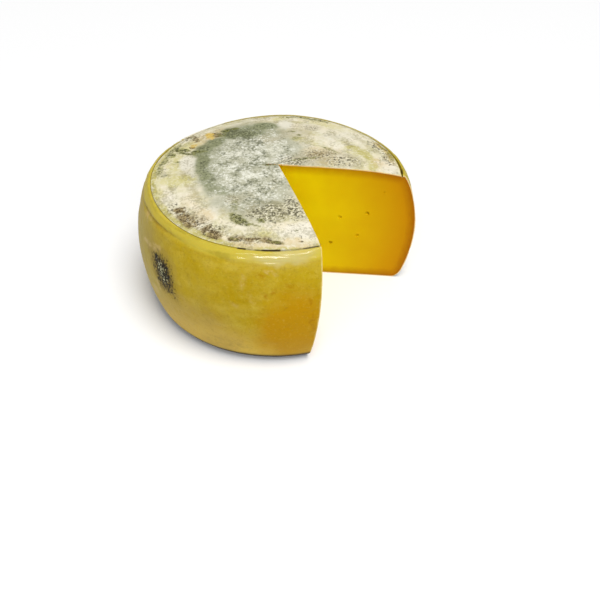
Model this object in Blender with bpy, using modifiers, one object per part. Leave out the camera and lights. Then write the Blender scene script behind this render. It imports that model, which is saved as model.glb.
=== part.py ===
"""Wheel of aged kashar cheese with a notch cut to its middle.

One solid: a barrel-sided wheel on a flat foot, a low crown of rind that has
cracked away from the shoulder in a ring, and a notch that two knife cuts open
to the middle, with the small eyes of the paste in its faces.
Metres, +Z up, origin on the ground under the middle of the wheel. Directions
are degrees round +Z, counted from +X.
"""

import math
import random

import bmesh
import bpy
from mathutils import Matrix, Vector, noise

MM = 0.001

# The wheel, as the mould and the months on the shelf left it
WHEEL_RADIUS = 160 * MM
RIM_HEIGHT = 144.2 * MM
CROWN_RISE = 6.3 * MM
BELLY_HEIGHT = 73 * MM
BELLY_BEND_ABOVE = 157 * MM
BELLY_BEND_BELOW = 188 * MM
SHOULDER_HEIGHT = 18.7 * MM
SHOULDER_WIDTH = 2.6 * MM
FOOT_HEIGHT = 13.3 * MM
FOOT_WIDTH = 7.8 * MM

# The ring where the mouldy rind has cracked off the shoulder
CRACK_RADIUS = 138.7 * MM
CRACK_WIDTH = 2.4 * MM
CRACK_DEPTH = 4 * MM
CRACK_CLOSED = 0.35
CRACK_OPENINGS = ((-88, 24), (6, 9))

# Lumps as (waves round the wheel, height of a crest, direction of a crest)
SIDE_LUMPS = ((2, 0.83 * MM, 47), (3, 0.38 * MM, -12), (4, 0.98 * MM, -1), (5, 0.71 * MM, 14))
RIM_LUMPS = ((1, 0.38 * MM, 4), (2, 0.6 * MM, 36), (3, 0.37 * MM, 51))
RIND_RELIEF = 0.7 * MM
RIND_RELIEF_SIZE = 34 * MM

# The fold of rind that hangs under the left shoulder and climbs to the crack
FOLD_START = -174
FOLD_END = -124
FOLD_DROP_START = 12.8 * MM
FOLD_DROP_END = 6.2 * MM
FOLD_PINCH = 1.3 * MM
FOLD_SOFTNESS = 2.6 * MM

# The notch: where its two cuts meet, and where each one leaves the wheel
NOTCH_TIP = Vector((1.3 * MM, 11.6 * MM))
FRONT_CUT = -72.3
BACK_CUT = -2.0
FRONT_CUT_LEAN = 4.87
NICK_LENGTH = 14 * MM
NICK_DEPTH = 5 * MM
NICK_WIDTH = 0.9 * MM

# Eyes of the paste in each knife cut
EYES_PER_CUT = 7
EYE_RADIUS = (1.1 * MM, 2.7 * MM)
EYE_SPACING = 14 * MM
EYE_REACH = (28 * MM, 124 * MM)
EYE_HEIGHT = (18 * MM, 122 * MM)
EYE_SEED = 11

# How finely the surfaces are divided
STEPS_ROUND = 120
CROWN_RINGS = 9
SHOULDER_RINGS = 6
BELLY_RINGS = 9
FOOT_RINGS = 4
EYE_SEGMENTS = 10
EYE_RINGS = 6

MERGE_DISTANCE = 0.01 * MM
OVERSHOOT = 12 * MM
SHARP_EDGE = 30

MOULDY_RIND = ("mouldy_rind", (0.60, 0.58, 0.47), 0.9)
WAXY_RIND = ("waxy_rind", (0.50, 0.34, 0.06), 0.4)
CHEESE_PASTE = ("cheese_paste", (0.66, 0.42, 0.01), 0.5)


def direction(degrees):
    """Level unit vector that points in a direction."""
    return Vector((math.cos(math.radians(degrees)), math.sin(math.radians(degrees))))


def turn_between(degrees, other):
    """Smallest angle between two directions, in degrees."""
    return abs((degrees - other + 180) % 360 - 180)


def swell(lumps, degrees):
    """Height of a set of lumps in a direction."""
    return sum(
        height * math.cos(waves * math.radians(degrees - crest))
        for waves, height, crest in lumps
    )


def quarter_round(share):
    """How far a quarter round has turned in at a share of its length, from 0 to 1."""
    return 1 - math.sqrt(max(1 - min(max(share, 0), 1) ** 2, 0))


def wall_radius(height):
    """Radius of the barrel side at a height, before its lumps."""
    rise = height - BELLY_HEIGHT
    bend = BELLY_BEND_ABOVE if rise > 0 else BELLY_BEND_BELOW
    shoulder = SHOULDER_WIDTH * quarter_round(1 - (RIM_HEIGHT - height) / SHOULDER_HEIGHT)
    foot = FOOT_WIDTH * quarter_round(1 - height / FOOT_HEIGHT)
    return WHEEL_RADIUS - rise ** 2 / (2 * bend) - shoulder - foot


def crown_height(radius):
    """Height of the crown of rind at a radius, before its relief."""
    return RIM_HEIGHT + CROWN_RISE * (1 - min(radius / CRACK_RADIUS, 1) ** 4)


def wheel_profile():
    """Half outline (radius, height) of the wheel, from the top's middle to the base's."""
    inner_lip = CRACK_RADIUS - CRACK_WIDTH / 2
    outline = []
    for ring in range(CROWN_RINGS + 1):
        radius = inner_lip * math.sin(math.pi / 2 * ring / CROWN_RINGS)
        outline.append((radius, crown_height(radius)))
    outline.append((CRACK_RADIUS, RIM_HEIGHT - CRACK_DEPTH))
    outline.append((CRACK_RADIUS + CRACK_WIDTH / 2, RIM_HEIGHT))

    heights = []
    for ring in range(SHOULDER_RINGS):
        turned = math.pi / 2 * ring / SHOULDER_RINGS
        heights.append(RIM_HEIGHT - SHOULDER_HEIGHT * (1 - math.cos(turned)))
    belly_top = RIM_HEIGHT - SHOULDER_HEIGHT
    for ring in range(BELLY_RINGS):
        heights.append(belly_top + (FOOT_HEIGHT - belly_top) * ring / BELLY_RINGS)
    for ring in range(FOOT_RINGS + 1):
        turned = math.pi / 2 * ring / FOOT_RINGS
        heights.append(FOOT_HEIGHT * (1 - math.sin(turned)))
    outline.extend((wall_radius(height), height) for height in heights)
    outline.append((0, 0))
    return outline


def crack_opening(degrees):
    """How far the crack gapes in a direction, from CRACK_CLOSED to 1."""
    gape = max(
        math.exp(-((turn_between(degrees, middle) / spread) ** 2))
        for middle, spread in CRACK_OPENINGS
    )
    return CRACK_CLOSED + (1 - CRACK_CLOSED) * gape


def fold_pinch(degrees, height):
    """How far the fold under the left shoulder draws the side in."""
    along = (degrees - FOLD_START) / (FOLD_END - FOLD_START)
    if not 0 < along < 1:
        return 0
    drop = FOLD_DROP_START + (FOLD_DROP_END - FOLD_DROP_START) * along
    off_line = (RIM_HEIGHT - drop - height) / FOLD_SOFTNESS
    return FOLD_PINCH * math.sin(math.pi * along) * math.exp(-(off_line ** 2))


def aged(point):
    """Where a point of the turned wheel lies once the wheel has aged."""
    degrees = math.degrees(math.atan2(point.y, point.x))
    radius = math.hypot(point.x, point.y)
    height = point.z
    from_crack = radius - CRACK_RADIUS
    in_crack = height > BELLY_HEIGHT and abs(from_crack) < CRACK_WIDTH / 2 + MERGE_DISTANCE
    if in_crack:
        opening = crack_opening(degrees)
        radius = CRACK_RADIUS + from_crack * opening
        height = RIM_HEIGHT - max(RIM_HEIGHT - height, 0) * opening

    share_up = height / RIM_HEIGHT
    relief = 0
    if not in_crack:
        relief = RIND_RELIEF * noise.noise(point / RIND_RELIEF_SIZE) * min(share_up * 4, 1)
    on_top = height >= RIM_HEIGHT
    radius -= fold_pinch(degrees, height)
    radius *= 1 + swell(SIDE_LUMPS, degrees) / CRACK_RADIUS
    height += swell(RIM_LUMPS, degrees) * share_up * min(radius / CRACK_RADIUS, 1)
    if on_top:
        height += relief
    else:
        radius += relief
    level = direction(degrees) * radius
    return Vector((level.x, level.y, height))


def surface_material(name, colour, roughness):
    """Opaque material of one colour."""
    material = bpy.data.materials.new(name)
    material.use_nodes = True
    shader = material.node_tree.nodes["Principled BSDF"]
    shader.inputs["Base Color"].default_value = (*colour, 1)
    shader.inputs["Roughness"].default_value = roughness
    shader.inputs["Metallic"].default_value = 0
    return material


def collection_of(name):
    """New collection in the scene."""
    collection = bpy.data.collections.new(name)
    bpy.context.scene.collection.children.link(collection)
    return collection


def object_from(bm, name, collection):
    """Object that takes a bmesh as its mesh."""
    mesh = bpy.data.meshes.new(name)
    bm.to_mesh(mesh)
    bm.free()
    made = bpy.data.objects.new(name, mesh)
    collection.objects.link(made)
    return made


def turned_wheel(collection):
    """The whole wheel, turned from its profile and then aged."""
    bm = bmesh.new()
    ring = [bm.verts.new((radius, 0, height)) for radius, height in wheel_profile()]
    for upper, lower in zip(ring, ring[1:]):
        bm.edges.new((upper, lower))
    outline = object_from(bm, "wheel_outline", collection)
    screw = outline.modifiers.new("turn", "SCREW")
    screw.steps = STEPS_ROUND
    screw.render_steps = STEPS_ROUND
    screw.use_merge_vertices = True
    screw.merge_threshold = MERGE_DISTANCE

    evaluated = outline.evaluated_get(bpy.context.evaluated_depsgraph_get())
    mesh = bpy.data.meshes.new_from_object(evaluated)
    bpy.data.objects.remove(outline)
    for vertex in mesh.vertices:
        vertex.co = aged(vertex.co)
    wheel = bpy.data.objects.new("cheese_wheel", mesh)
    collection.objects.link(wheel)
    return wheel


def paint_rinds(mesh):
    """Mouldy rind inside the crack, waxy rind outside and below it."""
    mesh.materials.clear()
    mesh.materials.append(surface_material(*MOULDY_RIND))
    mesh.materials.append(surface_material(*WAXY_RIND))
    for face in mesh.polygons:
        middle = face.center
        inside = math.hypot(middle.x, middle.y) < CRACK_RADIUS
        face.material_index = 0 if inside and middle.z > BELLY_HEIGHT else 1


def cut_direction(degrees):
    """Level direction of the knife cut that runs from the tip to the crack ring."""
    return (direction(degrees) * CRACK_RADIUS - NOTCH_TIP).normalized()


def left_of(level):
    """Level unit vector a quarter turn to the left of another."""
    return Vector((-level.y, level.x))


def tip_at(height):
    """Where the two cuts meet at a height: the front one leans under the wheel."""
    front = cut_direction(FRONT_CUT)
    back = cut_direction(BACK_CUT)
    lean = math.tan(math.radians(FRONT_CUT_LEAN)) * (height - RIM_HEIGHT)
    return NOTCH_TIP + back * (lean / back.dot(left_of(front)))


def as_cutter(made, paste):
    """Marks an object as a guide, and makes what it cuts show the paste."""
    made.data.materials.append(paste)
    made.display_type = "WIRE"
    made.hide_render = True
    return made


def notch_cutter(collection, paste):
    """Block that stands in the notch, between the two knife cuts."""
    reach = 2 * WHEEL_RADIUS
    front = cut_direction(FRONT_CUT) * reach
    back = cut_direction(BACK_CUT) * reach
    bm = bmesh.new()
    bmesh.ops.create_cube(bm, size=1)
    for corner in bm.verts:
        height = RIM_HEIGHT + CROWN_RISE + OVERSHOOT if corner.co.z > 0 else -OVERSHOOT
        level = tip_at(height)
        if corner.co.x > 0:
            level = level + front
        if corner.co.y > 0:
            level = level + back
        corner.co = (level.x, level.y, height)
    return as_cutter(object_from(bm, "notch_cutter", collection), paste)


def nick_cutter(collection, paste):
    """Thin blade that ran past the tip of the notch, shallower as it goes."""
    back = cut_direction(BACK_CUT)
    crown = RIM_HEIGHT + CROWN_RISE
    bm = bmesh.new()
    bmesh.ops.create_cube(bm, size=1)
    for corner in bm.verts:
        far = corner.co.x < 0
        along = -NICK_LENGTH if far else NICK_LENGTH / 3
        width = NICK_WIDTH / 3 if far else NICK_WIDTH
        depth = NICK_DEPTH / 5 if far else NICK_DEPTH
        level = NOTCH_TIP + back * along + left_of(back) * width * corner.co.y
        height = crown + OVERSHOOT if corner.co.z > 0 else crown - depth
        corner.co = (level.x, level.y, height)
    return as_cutter(object_from(bm, "nick_cutter", collection), paste)


def eye_places(draw):
    """Reaches and heights of one cut's eyes, none too near another."""
    places = []
    while len(places) < EYES_PER_CUT:
        place = Vector((draw.uniform(*EYE_REACH), draw.uniform(*EYE_HEIGHT)))
        if all((place - other).length > EYE_SPACING for other in places):
            places.append(place)
    return places


def eyes_cutter(collection, paste):
    """Round gas holes that the knife has opened in both cuts."""
    draw = random.Random(EYE_SEED)
    bm = bmesh.new()
    for cut in (FRONT_CUT, BACK_CUT):
        along = cut_direction(cut)
        for reach, height in eye_places(draw):
            radius = draw.uniform(*EYE_RADIUS)
            level = tip_at(height) + along * reach
            into = left_of(along) * draw.uniform(-radius, radius) / 3
            place = Matrix.Translation((level.x + into.x, level.y + into.y, height))
            bmesh.ops.create_uvsphere(
                bm,
                u_segments=EYE_SEGMENTS,
                v_segments=EYE_RINGS,
                radius=radius,
                matrix=place,
            )
    return as_cutter(object_from(bm, "eyes_cutter", collection), paste)


def cut_away(wheel, cutter):
    """Cuts one cutter out of the wheel."""
    boolean = wheel.modifiers.new(cutter.name, "BOOLEAN")
    boolean.operation = "DIFFERENCE"
    boolean.solver = "EXACT"
    boolean.material_mode = "TRANSFER"
    boolean.object = cutter


def stand_over_origin(wheel, cutters):
    """Moves the meshes so that the middle of the wheel's outline is over the origin."""
    for axis in range(2):
        places = [vertex.co[axis] for vertex in wheel.data.vertices]
        middle = (min(places) + max(places)) / 2
        for made in (wheel, *cutters):
            for vertex in made.data.vertices:
                vertex.co[axis] -= middle


def main():
    for old in list(bpy.data.objects):
        bpy.data.objects.remove(old)
    parts = collection_of("aged_kashar_wheel")
    guides = collection_of("cutters")
    paste = surface_material(*CHEESE_PASTE)
    wheel = turned_wheel(parts)
    paint_rinds(wheel.data)
    cutters = (
        notch_cutter(guides, paste),
        nick_cutter(guides, paste),
        eyes_cutter(guides, paste),
    )
    stand_over_origin(wheel, cutters)
    for cutter in cutters:
        cut_away(wheel, cutter)
    wheel.data.shade_smooth()
    wheel.data.set_sharp_from_angle(angle=math.radians(SHARP_EDGE))


main()
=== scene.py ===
"""Looks of a wheel of aged kashar cheese with a notch cut to its middle.

The wheel is one closed mesh in the place of the CAD solid, turned and cut from
the same named sizes, only finer: a mouldy crown of rind, a waxy side and the
paste that the knife has opened. Metres, +Z up. Directions are degrees round
+Z, counted from +X. The order below is: sizes, mesh, masks painted on it,
materials, and then the camera, floor and lights.
"""

import math
import random
from collections import namedtuple

import bmesh
import bpy
import numpy as np
from mathutils import Matrix, Vector, noise


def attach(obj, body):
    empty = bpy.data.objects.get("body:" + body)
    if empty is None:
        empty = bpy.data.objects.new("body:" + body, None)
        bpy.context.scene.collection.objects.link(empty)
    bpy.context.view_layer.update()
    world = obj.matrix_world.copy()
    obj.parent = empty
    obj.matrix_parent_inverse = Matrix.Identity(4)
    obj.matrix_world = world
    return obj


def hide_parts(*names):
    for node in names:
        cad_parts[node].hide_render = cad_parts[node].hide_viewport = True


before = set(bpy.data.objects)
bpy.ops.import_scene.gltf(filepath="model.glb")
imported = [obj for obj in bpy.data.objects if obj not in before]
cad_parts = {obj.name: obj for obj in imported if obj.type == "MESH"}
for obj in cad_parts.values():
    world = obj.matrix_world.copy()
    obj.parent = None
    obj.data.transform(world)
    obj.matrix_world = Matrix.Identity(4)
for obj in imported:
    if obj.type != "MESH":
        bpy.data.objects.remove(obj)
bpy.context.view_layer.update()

# Fixes the noise that bends outlines and surfaces, so that each run gives the same cheese
NOISE_SEED = 7
noise.seed_set(NOISE_SEED)

MM = 0.001

# The wheel's driving sizes, as the solid has them. A lump is given by its waves round the
# wheel, its height and the direction of a crest, and a crack opening by its direction and
# spread
WHEEL_RADIUS = 160 * MM
RIM_HEIGHT = 144.2 * MM
CROWN_RISE = 6.3 * MM
CROWN_FLATNESS = 4
BELLY_HEIGHT = 73 * MM
BELLY_BEND_ABOVE = 157 * MM
BELLY_BEND_BELOW = 188 * MM
SHOULDER_HEIGHT = 18.7 * MM
SHOULDER_WIDTH = 2.6 * MM
FOOT_HEIGHT = 13.3 * MM
FOOT_WIDTH = 7.8 * MM
CRACK_RADIUS = 138.7 * MM
CRACK_WIDTH = 2.4 * MM
CRACK_DEPTH = 4 * MM
CRACK_SQUARENESS = 4
CRACK_CLOSED = 0.35
CRACK_OPENINGS = ((-88, 24), (6, 9))
SIDE_LUMPS = ((2, 0.83 * MM, 47), (3, 0.38 * MM, -12), (4, 0.98 * MM, -1), (5, 0.71 * MM, 14))
RIM_LUMPS = ((1, 0.38 * MM, 4), (2, 0.6 * MM, 36), (3, 0.37 * MM, 51))
RIND_RELIEF = 0.7 * MM
RIND_RELIEF_SIZE = 34 * MM
FOLD_START = -174
FOLD_END = -124
FOLD_DROP_START = 12.8 * MM
FOLD_DROP_END = 6.2 * MM
FOLD_PINCH = 1.3 * MM
FOLD_SOFTNESS = 2.6 * MM
NOTCH_TIP = np.array((1.3 * MM, 11.6 * MM))
FRONT_CUT = -72.3
BACK_CUT = -2.0
FRONT_CUT_LEAN = 4.87

# The knife's nick: it starts inside the notch, and ends narrower and shallower
NICK_LENGTH = 14 * MM
NICK_DEPTH = 5 * MM
NICK_WIDTH = 0.9 * MM
NICK_START = NICK_LENGTH / 3
NICK_END_WIDTH = NICK_WIDTH / 3
NICK_END_DEPTH = NICK_DEPTH / 5

# Eyes of the paste. Their middles lie off the cut by their radius over EYE_SNUGNESS at most
EYES_PER_CUT = 7
EYE_RADIUS = (1.1 * MM, 2.7 * MM)
EYE_SPACING = 14 * MM
EYE_REACH = (28 * MM, 124 * MM)
EYE_HEIGHT = (18 * MM, 122 * MM)
EYE_SNUGNESS = 3
EYE_SEED = 11

# Relief too fine for the solid: crust of the crown, dimples, pits and ridges of the side, and
# waves that the knife left in the paste. A layer of waves is given by its size and height.
# The relief fades out on the lowest share of the side, so that the wheel stands flat
CRUST_RELIEF = ((7 * MM, 0.4 * MM), (3.6 * MM, 0.3 * MM))
FELT_RISE = 0.35 * MM
SIDE_RELIEF = ((12 * MM, 0.18 * MM), (5 * MM, 0.12 * MM))
RELIEF_FADE = 0.25
PIT_SIZE = 8 * MM
PIT_DEPTH = 0.45 * MM
PIT_RARITY = 0.28
FOLD_CREASE = 0.8 * MM
FOLD_CREASE_SOFTNESS = 1.7 * MM
STREAK_STRETCH = 9
RIDGE_HEIGHTS = (126 * MM, 144 * MM)
RIDGES = ((4.2 * MM, 0.6 * MM), (2.2 * MM, 0.36 * MM))
KNIFE_WAVES = ((45 * MM, 0.3 * MM), (9 * MM, 0.06 * MM))
EYE_UNEVENNESS = 0.5

# How finely the mesh is divided, and how far the cutters reach past the wheel
STEPS_ROUND = 512
CROWN_STEP = 1.7 * MM
WALL_STEP = 1.9 * MM
CRACK_POINTS = 9
ROUND_POINTS = 28
BASE_RINGS = 6
LIP_RING = 0.5 * MM
CUT_REACH = 200 * MM
CUT_CELLS = 76
EYE_SUBDIVISIONS = 3
OVERSHOOT = 12 * MM
MERGE_DISTANCE = 0.01 * MM
# Bends above this angle stay sharp, and a place this far from a cut is never near it
SHARP_EDGE = 40
FAR_OFF = 1000 * MM


def level(degrees):
    """Level unit vector that points in a direction."""
    return np.array((math.cos(math.radians(degrees)), math.sin(math.radians(degrees))))


def left_of(way):
    """Level unit vector a quarter turn to the left of another."""
    return np.array((-way[1], way[0]))


def turn_between(degrees, other):
    """Smallest angle between two directions, in degrees."""
    return np.abs((degrees - other + 180) % 360 - 180)


def swell(lumps, degrees):
    """Height of a set of lumps in a direction."""
    return sum(
        height * np.cos(waves * np.radians(degrees - crest)) for waves, height, crest in lumps
    )


def quarter_round(share):
    """How far a quarter round has turned in at a share of its length, from 0 to 1."""
    return 1 - np.sqrt(1 - np.clip(share, 0, 1) ** 2)


def wall_radius(height):
    """Radius of the barrel side at a height, before its lumps."""
    rise = height - BELLY_HEIGHT
    bend = np.where(rise > 0, BELLY_BEND_ABOVE, BELLY_BEND_BELOW)
    shoulder = SHOULDER_WIDTH * quarter_round(1 - (RIM_HEIGHT - height) / SHOULDER_HEIGHT)
    foot = FOOT_WIDTH * quarter_round(1 - height / FOOT_HEIGHT)
    return WHEEL_RADIUS - rise ** 2 / (2 * bend) - shoulder - foot


def crown_height(radius):
    """Height of the crown of rind at a radius, before its relief."""
    share = np.clip(radius / CRACK_RADIUS, 0, 1)
    return RIM_HEIGHT + CROWN_RISE * (1 - share ** CROWN_FLATNESS)


def spaced(first, last, step):
    """Evenly spaced values from first to last, about a step apart."""
    return np.linspace(first, last, max(2, round(abs(last - first) / step) + 1))


def wheel_profile():
    """Half outline (radius, height) of the wheel, from the top's middle to the base's."""
    inner_lip = CRACK_RADIUS - CRACK_WIDTH / 2
    crown = np.append(spaced(0, inner_lip - LIP_RING, CROWN_STEP), inner_lip)
    outline = list(zip(crown, crown_height(crown)))
    for share in np.linspace(-1, 1, CRACK_POINTS)[1:]:
        radius = CRACK_RADIUS + share * CRACK_WIDTH / 2
        outline.append((radius, RIM_HEIGHT - CRACK_DEPTH * (1 - share ** CRACK_SQUARENESS)))
    turns = np.linspace(0, math.pi / 2, ROUND_POINTS)
    belly_top = RIM_HEIGHT - SHOULDER_HEIGHT
    shoulder = RIM_HEIGHT - SHOULDER_HEIGHT * (1 - np.cos(turns))
    belly = spaced(belly_top, FOOT_HEIGHT, WALL_STEP)[1:-1]
    foot = FOOT_HEIGHT * (1 - np.sin(turns))
    heights = np.concatenate((shoulder, belly, foot))
    outline.extend(zip(wall_radius(heights), heights))
    contact = wall_radius(np.array(0.0))
    outline.extend((contact * (1 - ring / BASE_RINGS), 0) for ring in range(1, BASE_RINGS + 1))
    return outline


def crack_opening(degrees):
    """How far the crack gapes in a direction, from CRACK_CLOSED to 1."""
    gape = np.max(
        [np.exp(-((turn_between(degrees, mid) / spread) ** 2)) for mid, spread in CRACK_OPENINGS],
        axis=0,
    )
    return CRACK_CLOSED + (1 - CRACK_CLOSED) * gape


def fold_line(degrees, height, softness):
    """How near places lie to the fold under the left shoulder, from 0 to 1."""
    along = (degrees - FOLD_START) / (FOLD_END - FOLD_START)
    drop = FOLD_DROP_START + (FOLD_DROP_END - FOLD_DROP_START) * along
    strength = np.where((along > 0) & (along < 1), np.sin(math.pi * along), 0)
    return strength * np.exp(-(((RIM_HEIGHT - drop - height) / softness) ** 2))


def pits(places):
    """Depth of the shallow pits that lie scattered over the side."""
    waves = ripple(places, ((PIT_SIZE, 1),))
    return PIT_DEPTH * np.clip((waves - PIT_RARITY) / PIT_RARITY, 0, 1)


def ripple(places, layers):
    """Sum of smooth noises of some sizes and heights, at each place."""
    return sum(
        height * np.array([noise.noise(place) for place in places / size])
        for size, height in layers
    )


def streak_places(places):
    """Places pulled out along the wheel's rings, so that noise read there runs in streaks."""
    radius = np.hypot(places[:, 0], places[:, 1])
    around = np.arctan2(places[:, 1], places[:, 0]) * CRACK_RADIUS / STREAK_STRETCH
    return np.stack((radius, np.abs(around), places[:, 2]), axis=1)


def ridges(places, height):
    """Thin ridges that run round the shoulder, where the rind dried in level wrinkles."""
    low, high = RIDGE_HEIGHTS
    inside = np.clip((height - low) * (high - height) / ((high - low) / 2) ** 2, 0, 1)
    return inside * ripple(streak_places(places), RIDGES)


def aged(places):
    """Where the points of the turned wheel lie once the wheel has aged."""
    degrees = np.degrees(np.arctan2(places[:, 1], places[:, 0]))
    radius = np.hypot(places[:, 0], places[:, 1])
    height = places[:, 2].copy()
    from_crack = radius - CRACK_RADIUS
    in_crack = (height > BELLY_HEIGHT) & (np.abs(from_crack) < CRACK_WIDTH / 2 + MERGE_DISTANCE)
    opening = crack_opening(degrees)
    radius = np.where(in_crack, CRACK_RADIUS + from_crack * opening, radius)
    sunk = RIM_HEIGHT - np.maximum(RIM_HEIGHT - height, 0) * opening
    height = np.where(in_crack, sunk, height)

    share_up = height / RIM_HEIGHT
    on_top = height >= RIM_HEIGHT
    crust = ripple(places, CRUST_RELIEF) + FELT_RISE * crown_cover("felt", places)
    skin = ripple(places, SIDE_RELIEF) + ridges(places, height) - pits(places)
    relief = ripple(places, ((RIND_RELIEF_SIZE, RIND_RELIEF),)) + np.where(on_top, crust, skin)
    relief = np.where(in_crack, 0, relief * np.minimum(share_up / RELIEF_FADE, 1))
    radius = radius - FOLD_PINCH * fold_line(degrees, height, FOLD_SOFTNESS)
    radius = radius - FOLD_CREASE * fold_line(degrees, height, FOLD_CREASE_SOFTNESS)
    radius = radius * (1 + swell(SIDE_LUMPS, degrees) / CRACK_RADIUS)
    lift = swell(RIM_LUMPS, degrees) * share_up * np.minimum(radius / CRACK_RADIUS, 1)
    height = height + lift + np.where(on_top, relief, 0)
    radius = radius + np.where(on_top, 0, relief)
    turned = np.radians(degrees)
    return np.stack((radius * np.cos(turned), radius * np.sin(turned), height), axis=1)


def places_of(mesh):
    """The places of a mesh's vertices, as an array."""
    flat = np.empty(len(mesh.vertices) * 3)
    mesh.vertices.foreach_get("co", flat)
    return flat.reshape(-1, 3)


def move_to(mesh, places):
    """Puts a mesh's vertices in new places."""
    mesh.vertices.foreach_set("co", places.astype(np.float32).ravel())
    mesh.update()


def object_from(bm, name):
    """Object that takes a bmesh as its mesh."""
    mesh = bpy.data.meshes.new(name)
    bm.to_mesh(mesh)
    bm.free()
    made = bpy.data.objects.new(name, mesh)
    bpy.context.scene.collection.objects.link(made)
    return made


def applied(made, name):
    """A new object with the first one's modifiers applied; the first one is removed."""
    evaluated = made.evaluated_get(bpy.context.evaluated_depsgraph_get())
    mesh = bpy.data.meshes.new_from_object(evaluated)
    bpy.data.objects.remove(made)
    result = bpy.data.objects.new(name, mesh)
    bpy.context.scene.collection.objects.link(result)
    return result


def turned_wheel():
    """The whole wheel, turned from its profile and then aged."""
    bm = bmesh.new()
    ring = [bm.verts.new((radius, 0, height)) for radius, height in wheel_profile()]
    for upper, lower in zip(ring, ring[1:]):
        bm.edges.new((upper, lower))
    outline = object_from(bm, "wheel_outline")
    screw = outline.modifiers.new("turn", "SCREW")
    screw.steps = STEPS_ROUND
    screw.render_steps = STEPS_ROUND
    screw.use_merge_vertices = True
    screw.merge_threshold = MERGE_DISTANCE
    wheel = applied(outline, "whole_wheel")
    move_to(wheel.data, aged(places_of(wheel.data)))
    return wheel


def cut_direction(degrees):
    """Level direction of the knife cut that runs from the tip to the crack ring."""
    way = level(degrees) * CRACK_RADIUS - NOTCH_TIP
    return way / np.linalg.norm(way)


FRONT_WAY = cut_direction(FRONT_CUT)
BACK_WAY = cut_direction(BACK_CUT)


def tip_at(height):
    """Where the two cuts meet at a height: the front one leans under the wheel."""
    lean = math.tan(math.radians(FRONT_CUT_LEAN)) * (height - RIM_HEIGHT)
    return NOTCH_TIP + BACK_WAY * (lean / BACK_WAY.dot(left_of(FRONT_WAY)))


def notch_knives():
    """Block that stands in the notch, its sides divided as finely as the cuts need."""
    bm = bmesh.new()
    bmesh.ops.create_cube(bm, size=1)
    for corner in bm.verts:
        height = RIM_HEIGHT + CROWN_RISE + OVERSHOOT if corner.co.z > 0 else -OVERSHOOT
        place = tip_at(height)
        if corner.co.x > 0:
            place = place + FRONT_WAY * CUT_REACH
        if corner.co.y > 0:
            place = place + BACK_WAY * CUT_REACH
        corner.co = (place[0], place[1], height)
    bmesh.ops.subdivide_edges(bm, edges=bm.edges[:], cuts=CUT_CELLS, use_grid_fill=True)
    for point in bm.verts:
        for size, amount in KNIFE_WAVES:
            point.co += amount * noise.noise_vector(point.co / size)
    return object_from(bm, "notch_knives")


def cut_distance(places):
    """How far places lie from the nearer of the two knife cuts, level with them."""
    lean = math.tan(math.radians(FRONT_CUT_LEAN)) * (places[:, 2] - RIM_HEIGHT)
    from_tip = places[:, :2] - NOTCH_TIP
    front = np.abs(from_tip @ left_of(FRONT_WAY) - lean)
    back = np.abs(from_tip @ left_of(BACK_WAY))
    front = np.where(from_tip @ FRONT_WAY > 0, front, FAR_OFF)
    back = np.where(from_tip @ BACK_WAY > 0, back, FAR_OFF)
    return np.minimum(front, back)


def nick_knife():
    """Thin blade that ran past the tip of the notch, shallower as it goes."""
    crown = RIM_HEIGHT + CROWN_RISE
    bm = bmesh.new()
    bmesh.ops.create_cube(bm, size=1)
    for corner in bm.verts:
        far = corner.co.x < 0
        along = -NICK_LENGTH if far else NICK_START
        width = NICK_END_WIDTH if far else NICK_WIDTH
        depth = NICK_END_DEPTH if far else NICK_DEPTH
        place = NOTCH_TIP + BACK_WAY * along + left_of(BACK_WAY) * width * corner.co.y
        height = crown + OVERSHOOT if corner.co.z > 0 else crown - depth
        corner.co = (place[0], place[1], height)
    return object_from(bm, "nick_knife")


def eye_places(draw):
    """Reaches and heights of one cut's eyes, none too near another."""
    places = []
    while len(places) < EYES_PER_CUT:
        place = Vector((draw.uniform(*EYE_REACH), draw.uniform(*EYE_HEIGHT)))
        if all((place - other).length > EYE_SPACING for other in places):
            places.append(place)
    return places


def gas_holes():
    """Round gas holes that the knife has opened in both cuts, where the solid has them."""
    draw = random.Random(EYE_SEED)
    bm = bmesh.new()
    for way in (FRONT_WAY, BACK_WAY):
        for reach, height in eye_places(draw):
            radius = draw.uniform(*EYE_RADIUS)
            place = tip_at(height) + way * reach
            place = place + left_of(way) * draw.uniform(-radius, radius) / EYE_SNUGNESS
            seed = Vector((place[0], place[1], 0)) / MM
            ball = bmesh.ops.create_icosphere(
                bm, subdivisions=EYE_SUBDIVISIONS, radius=radius
            )["verts"]
            for point in ball:
                point.co += EYE_UNEVENNESS * radius * noise.noise_vector(point.co / radius + seed)
                point.co += Vector((place[0], place[1], height))
    return object_from(bm, "gas_holes")


def cut_away(wheel, cutter):
    """The wheel with a cutter taken out of it; both old objects are removed."""
    boolean = wheel.modifiers.new("cut", "BOOLEAN")
    boolean.operation = "DIFFERENCE"
    boolean.solver = "MANIFOLD"
    boolean.material_mode = "TRANSFER"
    boolean.object = cutter
    result = applied(wheel, wheel.name)
    bpy.data.objects.remove(cutter)
    return result


# Marks on the rind, in millimetres: crown marks are placed by x and y, side marks by
# direction and height. A blot is an oval, an arc a curved band
Blot = namedtuple("Blot", "x y length width turn strength")
Arc = namedtuple("Arc", "x y radius width start end strength")

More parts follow.
